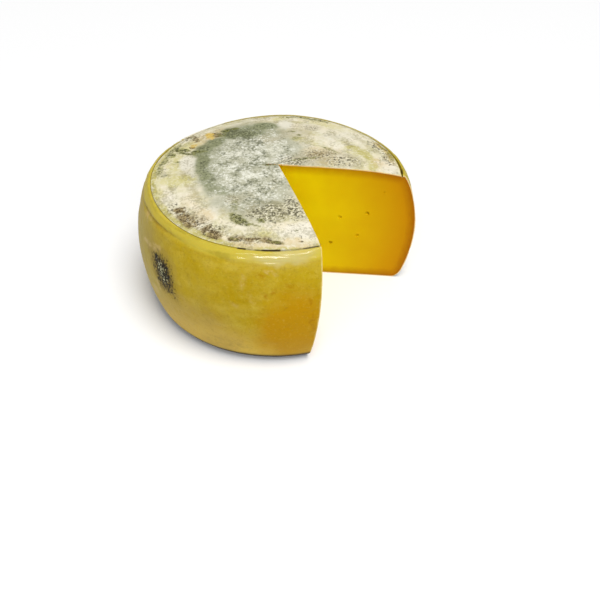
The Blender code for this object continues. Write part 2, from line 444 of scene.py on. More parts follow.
CROWN_MARKS = {
    "mould": (
        Blot(-27, 12, 108, 64, 90, 1),
        Blot(14, 40, 18, 22, 10, 0.65),
    ),
    "felt": (
        Blot(-50, 90, 18, 17, 0, 1),
        Blot(-31, 91, 19, 20, 0, 1),
        Blot(-13, 106, 17, 11, -12, 0.95),
        Blot(-72, 66, 20, 11, 48, 0.9),
        Blot(-85, 46, 18, 12, 80, 0.95),
        Blot(-83, 18, 34, 10, 91, 0.9),
        Blot(-76, -14, 26, 10, 110, 0.8),
        Blot(-62, -36, 22, 12, 150, 0.6),
        Blot(-72, 16, 64, 18, 93, 0.4),
        Blot(-12, 84, 24, 16, 20, 0.4),
    ),
    "dark_felt": (
        Blot(-51, 90, 13, 17, 10, 1),
        Blot(-33, 86, 11, 15, 0, 0.7),
        Blot(-86, 55, 9, 7, 0, 0.6),
        Blot(-83, 22, 30, 5, 91, 0.35),
    ),
    "grey_brown": (
        Blot(-2, 80, 26, 15, 20, 1),
        Blot(-10, 64, 16, 8, -10, 1),
        Blot(26, 88, 18, 10, -30, 0.8),
        Blot(50, 30, 30, 16, 5, 0.65),
        Blot(16, 20, 19, 12, 0, 0.95),
        Blot(80, 20, 14, 14, 0, 0.9),
        Blot(42, 100, 14, 10, 0, 0.9),
        Blot(-30, -52, 34, 10, 10, 0.4),
    ),
    "grey_and_painted_shadow": (
        # A painted shadow: the grey patch on the crown beside the back cut
        Blot(18, 19, 15, 9, 0, 0.8),
        Blot(-10, -76, 28, 19, -10, 1),
        Blot(17, -74, 9, 26, 15, 0.5),
        Blot(52, 20, 26, 14, 5, 0.35),
        Blot(-46, -56, 6, 9, 0, 0.8),
    ),
    "specks": (
        Blot(-27, 12, 100, 62, 90, 0.3),
        Blot(-8, -80, 30, 17, 0, 0.85),
        Blot(17, -74, 10, 28, 15, 0.95),
        Blot(-14, -90, 22, 9, -15, 0.9),
        Blot(48, 32, 30, 18, 0, 0.7),
        Blot(16, 19, 19, 10, 0, 0.95),
        Blot(24, -122, 17, 6, 4, 0.6),
        Blot(-101, 38, 10, 12, 0, 0.6),
        Blot(80, 18, 15, 13, 0, 0.85),
        Blot(42, 100, 14, 10, 0, 0.7),
        Blot(68, 16, 14, 14, 90, 0.8),
        Blot(-46, -60, 8, 28, 0, 0.6),
        Blot(-2, -20, 14, 30, 0, 0.6),
        Blot(100, 60, 26, 12, -60, 0.25),
        Blot(-106, 82, 9, 10, 40, 0.8),
        Blot(14, -106, 26, 20, 0, 0.5),
        Blot(-98, -54, 16, 14, 0, 0.42),
        Arc(0, 0, 131, 7, 8, 32, 0.85),
        Arc(0, 0, 133, 5, 62, 86, 0.7),
        Arc(0, 0, 124, 11, -149, -118, 0.75),
        Arc(0, 0, 127, 6, -114, -90, 0.5),
        Arc(0, 0, 130, 9, 140, 180, 0.55),
    ),
    "brown": (
        Blot(-96, 80, 6, 4.5, 60, 1.15),
        Blot(-92, 72, 5, 3, 40, 1.1),
        Blot(-100, -70, 6, 8, -60, 0.95),
        Blot(-95, -73, 2.5, 9, 4, 0.95),
        Blot(-94, -84, 8, 12, 20, 1.05),
        Blot(-88, -94, 12, 7, -50, 1.15),
        Blot(-79, -103, 9, 4, -35, 0.85),
        Blot(-69, -106, 5, 9, 15, 1.05),
        Blot(-65, -113, 13, 6, -28, 1.1),
        Blot(-88, -86, 27, 14, -52, 0.6),
        Blot(-66, -108, 17, 13, -20, 0.55),
        Blot(-42, -120.5, 10, 3.4, -8, 1.25),
        Blot(-26, -121.5, 13, 3.2, -4, 1.15),
        Blot(-7, -126.5, 13, 3.2, -12, 1.25),
        Blot(-27, -121, 32, 8, -8, 0.66),
        Blot(22, -127.5, 3.5, 1.1, 8, 1.2),
        Blot(-72, 88, 6, 7, 0, 1.2),
        Blot(-95, 80, 3.5, 11, 22, 1.2),
        Blot(-97, 57, 3.5, 3.5, 0, 1.1),
        Blot(-104, 86, 8, 3, 45, 0.8),
        Blot(46, 30, 24, 11, 10, 0.6),
        Arc(0, 0, 136, 2.4, 12, 30, 0.85),
    ),
    "olive": (
        Blot(-62, 97.5, 7, 4, 25, 1.1),
        Blot(-52, 102, 8, 3.2, 12, 1.1),
        Blot(-92, 46, 12, 3.2, -5, 1.1),
        Blot(-106, 52, 9, 4, -25, 1.1),
        Blot(-42, -88, 9, 7, -50, 1.35),
        Blot(-36, -96, 9, 6, -40, 1.3),
        Blot(-18, -96, 5, 4, 0, 1.25),
        Blot(-27, -101, 10, 2, -28, 1),
        Blot(-44, -68, 4, 12, 0, 0.6),
        Blot(24, 72, 8, 5, 10, 0.6),
        Blot(-115, 54, 9, 3.2, -55, 1.2),
        Blot(-103, 44, 13, 3.6, -22, 1.2),
        Blot(-120, 42, 6, 6, 0, 1.1),
        Arc(0, 0, 131, 4, 150, 179, 0.8),
        Blot(-66, 88, 6, 6, 25, 0.8),
        Blot(19, -112, 2, 2, 0, 1.2),
        Blot(-4, -127, 9, 2, -10, 1),
        Blot(-43, -120, 5, 2.4, -10, 1),
        Arc(0, 0, 136, 2.4, 12, 26, 0.8),
        Arc(0, 0, 134, 2, 62, 84, 0.85),
        Blot(19, 89, 5, 2, -10, 1.1),
        Blot(28, 80, 5, 2, -20, 1),
        Blot(32, 24, 18, 2.6, 15, 0.8),
        Blot(60, 44, 14, 2.6, -40, 0.7),
        Blot(-8, 9, 8, 1.6, 0, 0.9),
        Blot(-113, 25, 5, 2, 0, 0.8),
        Blot(-125, -3, 5, 2, 20, 0.8),
    ),
    "ring": (
        Arc(67, 13, 42, 7, -12, 66, 0.9),
        Blot(25, 71, 12, 7, 0, 0.8),
        Blot(-92, -14, 10, 4, -20, 0.75),
        Arc(0, 0, 136, 2.4, -116, -72, 0.9),
        Arc(0, 0, 137, 2.6, 150, 210, 1),
        Arc(0, 0, 136, 4, 206, 262, 1.2),
    ),
    "yellow": (
        Blot(-112, -15, 24, 12, 0, 0.9),
        Blot(-52, 122, 14, 5, 20, 0.4),
        Blot(-116, 25, 12, 30, 0, 0.7),
        Blot(-100, 62, 20, 10, 40, 0.8),
        Blot(60, 112, 40, 10, -35, 0.6),
        Blot(-30, -112, 40, 8, -10, 0.6),
        Blot(5, 131, 14, 7, 0, 0.9),
        Arc(0, 0, 133, 5, 150, 200, 0.6),
        Blot(96, 20, 18, 24, 0, 0.5),
    ),
    "tan_crust": (
        Blot(12, 14, 20, 12, 0, 0.8),
        Blot(60, 19, 14, 11, 0, 0.8),
        Blot(118, 18, 14, 12, 0, 0.7),
        Blot(-80, 80, 26, 12, 48, 1),
        Blot(-66, 100, 10, 5, 30, 0.8),
        Blot(-77, -82, 10, 16, 10, 0.8),
        Blot(-30, -127, 20, 4, -6, 0.9),
        Blot(-56, -116, 9, 5, -20, 0.7),
        Blot(46, 34, 26, 15, 10, 0.9),
        Blot(-12, -132, 26, 4, -6, 0.8),
        Blot(24, -131, 18, 3, 8, 0.8),
        Blot(-92, -55, 10, 16, 0, 0.45),
        Arc(0, 0, 133, 5, 8, 30, 0.6),
        Blot(12, -128, 16, 5, 8, 0.8),
    ),
    "orange": (
        Blot(-79, 89, 5, 6, 10, 1),
        Blot(-77, 81, 5, 7, -5, 0.85),
        Blot(-96, 61, 4, 4, 0, 0.8),
        Arc(0, 0, 135, 3.5, 10, 30, 0.35),
    ),
    "cool": (
        Blot(-101, 20, 12, 20, 0, 1),
        Blot(-96, 0, 7, 14, 20, 0.7),
        Blot(10, 108, 10, 14, 0, 1),
        Blot(28, 86, 10, 8, 0, 0.6),
        Blot(70, 75, 34, 10, 10, 0.5),
        Blot(38, 20, 10, 3, 15, 0.7),
    ),
    "chalk": (
        Blot(20, -113, 24, 14, 10, 1),
        Blot(-68, -76, 10, 34, -30, 0.85),
        Blot(-60, -58, 11, 10, 0, 0.85),
        Blot(-102, 17, 8, 8, 0, 0.6),
        Blot(126, 10, 8, 18, 0, 0.8),
        Blot(-40, -108, 22, 8, -12, 0.6),
        Blot(90, 80, 40, 12, -40, 0.4),
        Blot(68, 52, 14, 16, 0, 0.6),
        Blot(-108, -50, 20, 16, 0, 0.6),
    ),
    "bloom": (
        Blot(-40, 40, 13, 10, 20, 0.9),
        Blot(-2, 40, 11, 9, 0, 0.9),
    ),
    # Dark paint in the crack and the knife's nick: painted shade in these recesses
    "painted_crack_shade": (
        Blot(-6, 12.2, 8.5, 1.3, -2, 1.2),
        Arc(0, 0, 138.7, 1.3, -106, -103.5, 1),
        Arc(0, 0, 138.7, 1.2, -99, -87, 1),
        Arc(0, 0, 138.7, 1.7, -96, -89.5, 1.1),
        Arc(0, 0, 138.7, 1.2, -84, -81.4, 0.9),
        Arc(0, 0, 138.7, 1.3, -79.5, -73, 0.9),
        Arc(0, 0, 138.7, 1.6, 0, 3.4, 1),
        Arc(0, 0, 139.6, 1.5, 52, 168, 0.55),
        Arc(0, 0, 138.7, 1.1, -180, 180, 0.36),
    ),
}
SIDE_MARKS = {
    "side_mould": (
        Blot(150, 148.5, 42, 3.2, 0, 0.6),
        Blot(-140.5, 92, 19, 12, -58, 1.2),
        Blot(-140, 90, 27, 18, -52, 0.8),
        Blot(-139.5, 88, 32, 23, -50, 0.45),
        Blot(74, 60, 22, 15, 20, 0.9),
    ),
    "mould_core": (
        Blot(-141, 93, 18, 8, -60, 1.1),
        Blot(-137, 91, 11, 5, -60, 0.8),
        Blot(74, 60, 14, 7, 20, 0.9),
    ),
    "side_specks": (
        Blot(-140.5, 93, 18, 11, -58, 1.05),
        Blot(-140, 90, 27, 18, -52, 0.9),
        Blot(-139.5, 88, 34, 24, -50, 0.62),
        Blot(74, 60, 26, 18, 20, 0.75),
    ),
    "smear": (
        Blot(-145, 116, 12, 5, 15, 1.15),
        Blot(-153, 108, 20, 4, 20, 1),
        Blot(-157, 130, 16, 4, 8, 0.9),
        Blot(-149, 50, 9, 9, -20, 1.1),
        Blot(-144, 68, 5, 7, -20, 0.9),
        Blot(-102.5, 117, 4, 9, 0, 0.5),
        Blot(-100, 98, 4, 7, 0, 0.4),
        Blot(-92, 127, 9, 2.5, 0, 0.8),
        Blot(-106, 88, 4, 5, 0, 0.5),
        Blot(24, 100, 14, 5, 20, 0.8),
    ),
    "fat_film": (
        Blot(-89, 139, 52, 10, 0, 1),
        Blot(30, 138, 50, 9, 0, 0.9),
        Blot(125, 138, 60, 9, 0, 0.8),
    ),
    "halo": (
        Blot(-140, 92, 34, 26, -50, 0.9),
        Blot(-147, 103, 26, 16, -50, 1),
        Blot(74, 60, 34, 26, 20, 0.7),
        Blot(-112, 24, 34, 14, 10, 0.6),
        Blot(-118, 70, 12, 34, 10, 0.4),
        Blot(20, 40, 30, 18, -10, 0.6),
    ),
    # Pale tan of the left side and the back; on the left also painted lighter, as the pale
    # reflection along the grazing edge
    "tan": (
        Blot(-158, 60, 70, 110, 0, 1),
        Blot(120, 80, 110, 60, 0, 0.55),
    ),
    "khaki": (
        Blot(-126, 30, 70, 46, 10, 1),
        Blot(10, 30, 90, 26, 0, 0.7),
    ),
    # Golden patches of rind; the low front one also paints the warm light bounced from cut cheese
    "gold_and_warm_bounce": (
        Blot(-84, 52, 43, 56, 0, 1),
        Blot(60, 40, 60, 40, 0, 0.8),
        Blot(30, 90, 44, 40, 0, 0.65),
        Blot(104, 96, 60, 36, 0, 0.6),
        Blot(152, 52, 50, 50, 0, 0.65),
        Blot(-160, 140, 84, 6, 0, 0.55),
    ),
    "pale_rim_and_painted_shine": (
        Blot(98, 146, 215, 8, 0, 0.9),
        # The front blot is a painted highlight: the broad pale shine on the shoulder around the
        # coat's streaks
        Blot(-88, 139.5, 42, 7.5, 0, 0.78),
    ),
    "stains": (
        Blot(-96, 122, 8, 3, 5, 0.7),
        Blot(-91, 107, 5, 4, 20, 0.9),
        Blot(-94, 103, 3, 4, 20, 0.8),
        Blot(-86, 112, 5, 4, 0, 0.6),
        Blot(-78, 92, 3, 6, 0, 0.8),
        Blot(-77, 62, 3, 16, 0, 0.8),
        Blot(10, 96, 9, 5, 0, 0.7),
        Blot(60, 112, 7, 5, 0, 0.7),
        Blot(150, 84, 6, 8, 20, 0.7),
    ),
}
# Marks wander off their ovals and arcs in waves of these sizes, by these amounts. Straight
# marks follow the crack instead, and calm marks wander by a smaller share
WANDER = ((22 * MM, 6 * MM), (7 * MM, 2.5 * MM))
STRAIGHT_MARKS = ("painted_crack_shade",)
CALM_MARKS = ("felt", "dark_felt", "brown", "olive", "orange")
CALM = 0.45
# Noise of the streaks that run round the wheel, and the share at which they start to show
# in the shoulder's band and are full
STREAK_LAYERS = ((9 * MM, 1), (4.5 * MM, 0.6))
BAND_STREAK_EDGE = (0.4, 0.65)
# Heights in millimetres at which bands of the side start and are full
BAND = (132.5, 138.5)
STREAKED_BAND = (128, 136)
# The lowest band is painted lighter, standing in for the light that the floor throws back onto the
# side
FLOOR_BOUNCE_HEIGHTS = (66, 11)
# Direction in which the band has no streaks, and how far from it they start and are full
CLEAR_DIRECTION = -88
CLEAR_EDGE = (14, 26)
# Reach of the contact shadow painted up the foot, how sharply it ends, and width of the cuts' pale
# edge
FOOT_SHADE_REACH = 12 * MM
FOOT_SHADE_SHARPNESS = 4
CUT_EDGE = 1.1 * MM
# Flecks that gather in clusters: the mark they lie in, the clusters' size, how far they part
CLUSTERS = {
    "mould_flecks": ("mould", 12 * MM, 0.9),
    "mould_curds": ("mould", 15 * MM, 0.7),
    "dust": ("everywhere", 15 * MM, 2.0),
}


def blot_cover(mark, across, along):
    """How fully an oval mark covers places that lie across and along from its middle."""
    turn = math.radians(mark.turn)
    long_way = (across * math.cos(turn) + along * math.sin(turn)) / mark.length
    wide_way = (along * math.cos(turn) - across * math.sin(turn)) / mark.width
    return mark.strength * np.exp(-((long_way ** 2 + wide_way ** 2) ** 2))


def arc_cover(mark, across, along):
    """How fully a curved band covers places that lie across and along from its centre."""
    degrees = np.degrees(np.arctan2(along, across))
    middle = (mark.start + mark.end) / 2
    past_end = np.maximum(turn_between(degrees, middle) - (mark.end - mark.start) / 2, 0)
    off_line = (np.hypot(across, along) - mark.radius) / mark.width
    off_end = np.radians(past_end) * mark.radius / mark.width
    return mark.strength * np.exp(-((off_line ** 2 + off_end ** 2) ** 2))


def wandered(places):
    """Places shifted by waves, so that marks read there get uneven outlines."""
    shifted = places.copy()
    for size, amount in WANDER:
        shifted += amount * np.array([noise.noise_vector(place) for place in places / size])
    return shifted


def crown_cover(kind, places):
    """Cover of one kind of crown mark at each place."""
    covers = []
    for mark in CROWN_MARKS[kind]:
        cover = blot_cover if isinstance(mark, Blot) else arc_cover
        covers.append(cover(mark, places[:, 0] / MM - mark.x, places[:, 1] / MM - mark.y))
    return np.max(covers, axis=0)


def side_cover(kind, places):
    """Cover of one kind of side mark at each place."""
    degrees = np.degrees(np.arctan2(places[:, 1], places[:, 0]))
    covers = []
    for mark in SIDE_MARKS[kind]:
        swing = np.radians((degrees - mark.x + 180) % 360 - 180)
        across = swing * WHEEL_RADIUS / MM
        covers.append(blot_cover(mark, across, places[:, 2] / MM - mark.y))
    return np.max(covers, axis=0)


def keep(mesh, name, values):
    """Keeps one value for each vertex, for the materials to read."""
    layer = mesh.attributes.new(name, "FLOAT", "POINT")
    layer.data.foreach_set("value", np.asarray(values, dtype=np.float32))


def ramp(values, start, full):
    """Share that rises from 0 at the start to 1 where it is full."""
    return np.clip((values - start) / (full - start), 0, 1)


def paint(wheel):
    """Lays the masks of every mark, and the depth under the rind, on the wheel."""
    mesh = wheel.data
    places = places_of(mesh)
    radius = np.hypot(places[:, 0], places[:, 1])
    height = places[:, 2]
    degrees = np.degrees(np.arctan2(places[:, 1], places[:, 0]))
    bulge = 1 + swell(SIDE_LUMPS, degrees) / CRACK_RADIUS

    loose = wandered(places)
    read_at = dict.fromkeys(CROWN_MARKS, loose)
    read_at.update(dict.fromkeys(CALM_MARKS, places + CALM * (loose - places)))
    read_at.update(dict.fromkeys(STRAIGHT_MARKS, places / bulge[:, None]))
    for kind in CROWN_MARKS:
        keep(mesh, kind, crown_cover(kind, read_at[kind]))
    for kind in SIDE_MARKS:
        keep(mesh, kind, side_cover(kind, loose))
    keep(mesh, "everywhere", np.ones(len(places)))
    for kind, (cover, size, swing) in CLUSTERS.items():
        base = crown_cover(cover, loose) if cover in CROWN_MARKS else 1
        keep(mesh, kind, base * np.maximum(1 + swing * ripple(places + size, ((size, 1),)), 0))

    streaks = (1 + ripple(streak_places(places), STREAK_LAYERS)) / 2
    keep(mesh, "streaks", streaks)
    keep(mesh, "pale_streaks", 1 - streaks)
    off_front = ramp(turn_between(degrees, CLEAR_DIRECTION), *CLEAR_EDGE)
    in_band = ramp(height / MM, *STREAKED_BAND)
    keep(mesh, "band_streaks", off_front * in_band * ramp(streaks, *BAND_STREAK_EDGE))
    keep(mesh, "band", ramp(height / MM, *BAND))
    # Painted bounce light: the low side lighter, as if lit from the floor
    keep(mesh, "painted_floor_bounce", ramp(height / MM, *FLOOR_BOUNCE_HEIGHTS))
    # A dark line painted up the foot: painted shadow where the wheel meets the floor
    keep(mesh, "foot", np.exp(-((height / FOOT_SHADE_REACH) ** FOOT_SHADE_SHARPNESS)))
    # Darker along the fold: painted shade in the crease, on top of the modelled crease
    keep(mesh, "fold", fold_line(degrees, height, FOLD_CREASE_SOFTNESS))
    keep(mesh, "cut_edge", np.exp(-((cut_distance(places) / CUT_EDGE) ** 2)))

    side = wall_radius(np.clip(height, 0, RIM_HEIGHT)) * bulge
    lift = swell(RIM_LUMPS, degrees) * np.minimum(radius / CRACK_RADIUS, 1)
    depth = np.minimum(np.minimum(side - radius, crown_height(radius) + lift - height), height)
    keep(mesh, "rind_depth", np.maximum(depth, 0) / MM)
    keep(mesh, "side_depth", np.maximum(side - radius, 0) / MM)


def linear(code):
    """Linear colour of an sRGB hex code."""
    parts = [int(code[at : at + 2], 16) / 255 for at in (1, 3, 5)]
    return tuple(p / 12.92 if p <= 0.04045 else ((p + 0.055) / 1.055) ** 2.4 for p in parts) + (1,)


def add(tree, kind, inputs=None, **settings):
    """Adds a node, sets its settings, and sets or links its inputs."""
    node = tree.nodes.new("ShaderNode" + kind)
    for name, value in settings.items():
        setattr(node, name, value)
    for socket, value in (inputs or {}).items():
        if isinstance(value, bpy.types.NodeSocket):
            tree.links.new(value, node.inputs[socket])
        else:
            node.inputs[socket].default_value = value
    return node


# One stain: where it lies (a mask), its colour, the size of its grain in millimetres, how
# strongly the grain breaks it up, the mask value at its edge, how soft that edge is, and
# how much of what lies under it is hidden. An edge starts at LEAST_EDGE or above it
Stain = namedtuple("Stain", "mask colour grain raggedness edge softness hiding")
STAIN_DETAIL = 4
STAIN_ROUGHNESS = 0.68
LEAST_EDGE = 0.02


def stained(tree, where, colour, stains):
    """Lays a list of stains over a colour, in order, each with its own part of the noise."""
    for number, stain in enumerate(stains):
        mask = add(tree, "Attribute", attribute_name=stain.mask, attribute_type="GEOMETRY")
        moved = add(tree, "VectorMath", {0: where, 1: (number, 2 * number, 0)}, operation="ADD")
        grain = add(
            tree,
            "TexNoise",
            {
                "Vector": moved.outputs[0],
                "Scale": 1 / (stain.grain * MM),
                "Detail": STAIN_DETAIL,
                "Roughness": STAIN_ROUGHNESS,
            },
        )
        uneven = add(
            tree,
            "Math",
            {0: grain.outputs["Fac"], 1: stain.raggedness, 2: 1 - stain.raggedness / 2},
            operation="MULTIPLY_ADD",
        )
        broken = add(
            tree, "Math", {0: uneven.outputs[0], 1: mask.outputs["Fac"]}, operation="MULTIPLY"
        )
        cover = add(
            tree,
            "MapRange",
            {
                "Value": broken.outputs[0],
                "From Min": max(stain.edge - stain.softness, LEAST_EDGE),
                "From Max": stain.edge + stain.softness,
                "To Max": stain.hiding,
            },
            interpolation_type="SMOOTHSTEP",
        )
        colour = add(
            tree,
            "Mix",
            {0: cover.outputs[0], 6: colour, 7: linear(stain.colour)},
            data_type="RGBA",
        ).outputs[2]
    return colour


# Clouds of two tones: how many finer layers they have, and how softly the tones part
CLOUD_DETAIL = 3
CLOUD_SPREAD = 0.12


def two_tone(tree, where, size, first, second):
    """Colour that drifts between two tones in clouds of a size in millimetres."""
    clouds = add(
        tree, "TexNoise", {"Vector": where, "Scale": 1 / (size * MM), "Detail": CLOUD_DETAIL}
    )
    share = add(
        tree,
        "MapRange",
        {
            "Value": clouds.outputs["Fac"],
            "From Min": 0.5 - CLOUD_SPREAD,
            "From Max": 0.5 + CLOUD_SPREAD,
        },
    )
    tones = {0: share.outputs[0], 6: linear(first), 7: linear(second)}
    return add(tree, "Mix", tones, data_type="RGBA").outputs[2]


# Low grain that catches the light: its size and depth in millimetres, how strongly it shows
# and how many finer layers it has. Real rind is finer still, but that wouldn't show, so
# these are as coarse as they need to be
Grain = namedtuple("Grain", "size depth strength detail")


def grained(tree, where, grain):
    """Normals of a surface with a low grain."""
    waves = add(
        tree,
        "TexNoise",
        {"Vector": where, "Scale": 1 / (grain.size * MM), "Detail": grain.detail},
    )
    relief = {
        "Height": waves.outputs["Fac"],
        "Distance": grain.depth * MM,
        "Strength": grain.strength,
    }
    return add(tree, "Bump", relief).outputs[0]


def new_material(name, finish):
    """Material with a uniform finish, its shader, and the coordinates its patterns use."""
    material = bpy.data.materials.new(name)
    material.use_nodes = True
    tree = material.node_tree
    tree.nodes.clear()
    shader = add(tree, "BsdfPrincipled", finish)
    add(tree, "OutputMaterial", {"Surface": shader.outputs[0]})
    where = add(tree, "TexCoord").outputs["Object"]
    return material, tree, shader, where


# Dry, bloomy crust of the crown: chalk-pale, matt, with felts of grey-green mould
CRUST_FINISH = {"Roughness": 0.85, "Specular IOR Level": 0.3}
CRUST_GRAIN = Grain(2, 0.35, 0.6, 4)
CRUST_CLOUDS = 30
CRUST_FINE_CLOUDS = 5
CRUST_FINE_SHARE = 0.35
CROWN_STAINS = (
    Stain("everywhere", "#ABA66E", 16, 3.2, 1.05, 0.45, 0.45),
    Stain("everywhere", "#CDC9B4", 16, 3.0, 1.0, 0.5, 0.65),
    Stain("streaks", "#958860", 8, 2.2, 0.62, 0.35, 0.6),
    Stain("pale_streaks", "#DACDB8", 8, 2.2, 0.62, 0.3, 0.5),
    Stain("yellow", "#B9B26C", 12, 2.0, 0.45, 0.5, 0.6),
    Stain("ring", "#B2AB6A", 9, 3, 0.45, 0.5, 0.6),
    Stain("ring", "#A49A4C", 4, 5, 0.75, 0.5, 0.7),
    Stain("chalk", "#D6D0C0", 8, 2.4, 0.5, 0.5, 0.75),
    Stain("cool", "#CCC7B6", 8, 2.0, 0.5, 0.35, 0.9),
    Stain("tan_crust", "#BFAC80", 8, 2.6, 0.5, 0.5, 0.7),
    Stain("everywhere", "#DBD7C6", 4, 5, 1.4, 0.5, 0.45),
    Stain("dust", "#6B6440", 2.8, 7, 1.65, 0.6, 0.38),
    Stain("mould", "#A4A38D", 10, 1.2, 0.45, 0.25, 0.95),
    # Grey patches of the crown, and one painted shadow beside the back cut
    Stain("grey_and_painted_shadow", "#868060", 9, 2.4, 0.5, 0.45, 0.75),
    Stain("grey_brown", "#A59C80", 9, 2.0, 0.5, 0.5, 0.6),
    Stain("felt", "#787C5C", 14, 1.6, 0.4, 0.4, 0.8),
    Stain("mould_curds", "#CFCEBF", 7, 4, 1.1, 0.6, 0.5),
    Stain("mould_curds", "#D6D5C7", 2.8, 6, 1.15, 0.5, 0.85),
    Stain("mould_flecks", "#77785E", 3.4, 6, 1.2, 0.5, 0.7),
    Stain("mould_flecks", "#5A5C47", 4.6, 7, 1.65, 0.45, 0.75),
    Stain("felt", "#727552", 7, 2.6, 0.7, 0.35, 0.75),
    Stain("dark_felt", "#505234", 6, 4, 0.6, 0.5, 0.85),
    Stain("felt", "#989A78", 2.8, 7, 1.3, 0.45, 0.75),
    Stain("felt", "#41452F", 2.8, 7, 1.2, 0.45, 0.75),
    Stain("specks", "#D8D2B8", 2.4, 8, 1.1, 0.4, 0.85),
    Stain("specks", "#3A3620", 2.6, 8, 1.05, 0.4, 0.85),
    Stain("brown", "#7E6C42", 9, 5, 0.75, 0.5, 0.85),
    Stain("brown", "#34260C", 3.2, 8, 1.0, 0.6, 0.85),
    Stain("brown", "#BBA878", 2.4, 8, 1.6, 0.4, 0.5),
    Stain("olive", "#74743A", 5, 6, 0.6, 0.6, 0.8),
    Stain("olive", "#2F310B", 3, 8, 1.1, 0.6, 0.85),
    Stain("orange", "#CDB464", 4, 5, 0.5, 0.6, 0.85),
    Stain("orange", "#B79636", 4, 6, 0.8, 0.6, 0.8),
    # Painted shade in the crack and the nick
    Stain("painted_crack_shade", "#36280C", 6, 1.2, 0.6, 0.25, 0.95),
    Stain("bloom", "#D2D0BE", 4, 6, 0.6, 0.6, 0.65),
)

# Golden side, rubbed and waxy with the cheese's own fat: a soft shine that follows dents,
# and a wet-looking film of fat on the shoulder, broken up by the streaks
SIDE_FINISH = {
    "Roughness": 0.48,
    "Specular IOR Level": 0.06,
    "Specular Tint": linear("#FFE76C"),
    "Coat Roughness": 0.12,
    "Coat IOR": 1.5,
    "Sheen Weight": 0.04,
    "Sheen Roughness": 0.4,
    "Sheen Tint": linear("#FFF6DA"),
    "Subsurface Weight": 0.15,
    "Subsurface Radius": (1, 0.5, 0.15),
    "Subsurface Scale": 3 * MM,
}
SIDE_GRAIN = Grain(5, 0.2, 0.5, 3)
SIDE_CLOUDS = 40
# Share of a streak at which the film of fat starts and is full
FATTY_STREAKS = (0.24, 0.54)
SIDE_STAINS = (
    Stain("everywhere", "#AE9C44", 22, 3.0, 1.1, 0.6, 0.35),
    Stain("everywhere", "#8A7000", 10, 4, 1.3, 0.6, 0.25),
    Stain("streaks", "#C4B050", 12, 3.0, 0.75, 0.35, 0.2),
    Stain("everywhere", "#C8B248", 5, 6, 2.0, 0.5, 0.2),
    Stain("everywhere", "#7C6200", 3, 8, 1.9, 0.5, 0.3),
    # Tan rind, and on the left a painted pale reflection along the grazing edge
    Stain("tan", "#A08E3C", 50, 0.8, 0.6, 0.6, 0.85),
    Stain("khaki", "#A88E4A", 30, 1.2, 0.6, 0.6, 0.7),
    # Painted bounce light: the low side lighter, as if lit from the floor
    Stain("painted_floor_bounce", "#CAAA4C", 30, 0.6, 0.5, 0.5, 0.7),
    # Golden rind; at the low front also painted warm bounce light
    Stain("gold_and_warm_bounce", "#A67A00", 40, 1.0, 0.5, 0.5, 0.92),
    Stain("everywhere", "#6A5410", 2.8, 8, 1.8, 0.5, 0.2),
    Stain("everywhere", "#BFA848", 3.2, 8, 1.9, 0.5, 0.2),
    Stain("halo", "#8E7838", 6, 3.4, 0.55, 0.6, 0.6),
    Stain("band", "#B6A63E", 20, 0.6, 0.5, 0.45, 0.8),
    Stain("band_streaks", "#8A7A1E", 7, 3, 0.6, 0.4, 0.5),
    # Pale rim of the shoulder, and at the front a painted highlight
    Stain("pale_rim_and_painted_shine", "#B3A872", 12, 0.8, 0.55, 0.5, 0.8),
    Stain("smear", "#BDA36A", 5, 4, 0.65, 0.6, 0.55),
    Stain("stains", "#8A5A00", 4, 4, 0.6, 0.5, 0.5),
    # Painted shade along the fold's crease
    Stain("fold", "#86681A", 6, 3, 0.55, 0.5, 0.45),
    Stain("side_mould", "#44340F", 5, 4, 0.55, 0.6, 0.95),
    Stain("side_specks", "#0E0801", 3, 8, 0.74, 0.4, 1),
    Stain("mould_core", "#050200", 3.6, 7, 0.75, 0.5, 1),
    Stain("side_mould", "#C6C296", 2.4, 8, 1.72, 0.4, 0.85),
    # Painted shade in the crack, on the side's part of it
    Stain("painted_crack_shade", "#5A4612", 6, 1.2, 0.5, 0.3, 0.8),
    Stain("cut_edge", "#C9B878", 4, 1, 0.5, 0.4, 0.8),
    # Painted contact shadow: a dark line up the foot, where the wheel meets the floor
    Stain("foot", "#1E170A", 8, 0.4, 0.5, 0.45, 1),
)


# Paste as the knife leaves it: smooth and fatty, lit from within at its edges. Depths in
# millimetres from the rind, where each change starts and is full: the older and browner
# outer part, the ripe band, whose line wanders, and the pale line of the crust itself
PASTE_FINISH = {
    "Roughness": 0.5,
    "Specular IOR Level": 0.08,
    "Specular Tint": linear("#FFED95"),
    "Subsurface Weight": 0.25,
    "Subsurface Radius": (1, 0.6, 0.2),
    "Subsurface Scale": 4 * MM,
}
PASTE_GRAIN = Grain(6, 0.12, 0.5, 3)
PASTE_CLOUDS = 35
OUTER_PART = (110, 10)
RIPE_BAND = (14, 2)
RIPE_WANDER = 4
RIPE_WANDER_SIZE = 9
RIPE_WANDER_DETAIL = 2
CRUST_LINE = (1.4, 0.6)


def crown_rind():
    """Bloomy crust: chalk-matt, its grain catching the light so that it looks dry."""
    material, tree, shader, where = new_material("bloomy_crust_of_dry_rind", CRUST_FINISH)
    base = two_tone(tree, where, CRUST_CLOUDS, "#BFB985", "#C9C4A8")
    fine = two_tone(tree, where, CRUST_FINE_CLOUDS, "#AFA67E", "#D4CFB8")
    cream = add(tree, "Mix", {0: CRUST_FINE_SHARE, 6: base, 7: fine}, data_type="RGBA")
    colour = stained(tree, where, cream.outputs[2], CROWN_STAINS)
    tree.links.new(colour, shader.inputs["Base Color"])
    tree.links.new(grained(tree, where, CRUST_GRAIN), shader.inputs["Normal"])
    return material


